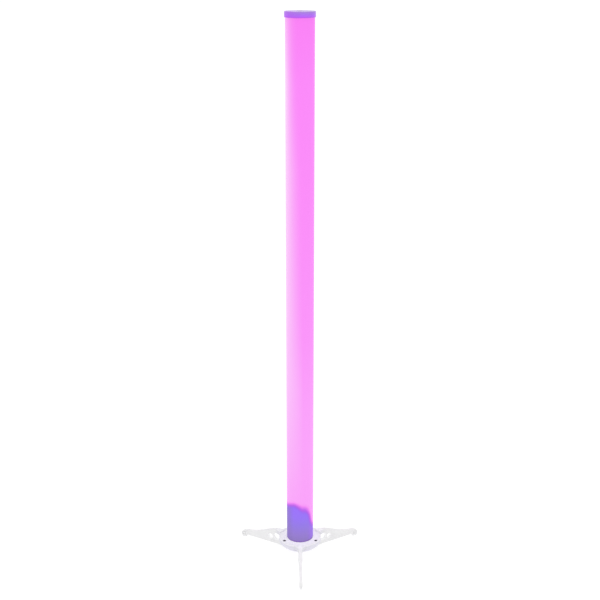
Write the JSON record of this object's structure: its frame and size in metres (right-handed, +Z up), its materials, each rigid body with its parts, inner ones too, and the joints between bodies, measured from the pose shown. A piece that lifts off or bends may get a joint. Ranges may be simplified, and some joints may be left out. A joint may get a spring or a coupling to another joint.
{
  "type": "led light tube",
  "caption": "Slim glowing LED light tube: frosted upright cylinder with a glossy cap, twist-locked on a pale plastic tripod foot, with rear push buttons and a charging inlet.",
  "frame": {"origin": "on the tube's axis, at the floor that the three pads stand on", "axes": "+Z up along the tube's axis; the front leg points along -Y and the control panel faces +Y"},
  "size_m": [0.2308, 0.1998, 1.0154],
  "materials": {
    "foot_plastic": "pale grey-white moulded plastic, satin",
    "pad_rubber": "pale soft rubber",
    "screw_black": "black coated steel",
    "diffuser": "frosted translucent plastic, lit magenta-pink from inside",
    "cap_plastic": "glossy violet plastic",
    "seal_rubber": "black O-ring",
    "brass": "turned brass",
    "housing_plastic": "opaque moulded plastic",
    "small_steel": "zinc-plated steel",
    "cell_wrap": "shrink-wrapped cell",
    "board_green": "green circuit board",
    "component_black": "moulded components",
    "inlet_metal": "plated steel shell",
    "panel_plastic": "pale satin plastic bezel",
    "status_green": "clear green light pipe",
    "ir_dark": "dark infrared window",
    "button_plastic": "pale moulded button caps",
    "spine_aluminium": "mill-finish extrusion",
    "holder_plastic": "white moulded plastic",
    "spacer_clear": "clear moulded plastic",
    "strip_white": "white circuit strip",
    "chip_lens": "LED packages",
    "lead_red": "soft insulated wire"
  },
  "bodies": {
    "foot": {"foot_base": "foot_plastic", "foot_cover": "foot_plastic", "foot_screws": "screw_black", "leg_front": "foot_plastic", "leg_right": "foot_plastic", "leg_left": "foot_plastic", "pad_front": "pad_rubber", "pad_right": "pad_rubber", "pad_left": "pad_rubber"},
    "tube": {"bottom_cap": "cap_plastic", "diffuser_tube": "diffuser", "top_cap": "cap_plastic", "top_seal": "seal_rubber", "thread_insert": "brass", "battery_housing": "housing_plastic", "housing_screws": "small_steel", "battery_cell_left": "cell_wrap", "battery_cell_right": "cell_wrap", "control_board": "board_green", "board_parts": "component_black", "tact_switches": "component_black", "usb_inlet": "inlet_metal", "control_panel": "panel_plastic", "status_lens": "status_green", "ir_window": "ir_dark", "led_spine": "spine_aluminium", "spine_holder_lower": "holder_plastic", "spine_holder_upper": "holder_plastic", "spacer_lower": "spacer_clear", "spacer_middle": "spacer_clear", "spacer_upper": "spacer_clear", "strip_front": "strip_white", "strip_right": "strip_white", "strip_back": "strip_white", "strip_left": "strip_white", "chips_front": "chip_lens", "chips_right": "chip_lens", "chips_back": "chip_lens", "chips_left": "chip_lens", "led_leads": "lead_red"},
    "power_button": {"power_button": "button_plastic"},
    "mode_button": {"mode_button": "button_plastic"},
    "bright_button": {"bright_button": "button_plastic"}
  },
  "joints": [
    {"name": "tube_twist", "type": "hinge", "parent": "foot", "child": "tube", "pos_m": [0, 0, 0.035], "axis": [0, 0, 1], "range_deg": [0, 40]},
    {"name": "power_press", "type": "slide", "parent": "tube", "child": "power_button", "axis": [0, -1, 0], "range_m": [0, 0.0008], "stiffness_N_per_m": 500, "springref_m": -0.001},
    {"name": "mode_press", "type": "slide", "parent": "tube", "child": "mode_button", "axis": [0, -1, 0], "range_m": [0, 0.0008], "stiffness_N_per_m": 500, "springref_m": -0.001},
    {"name": "bright_press", "type": "slide", "parent": "tube", "child": "bright_button", "axis": [0, -1, 0], "range_m": [0, 0.0008], "stiffness_N_per_m": 500, "springref_m": -0.001}
  ]
}
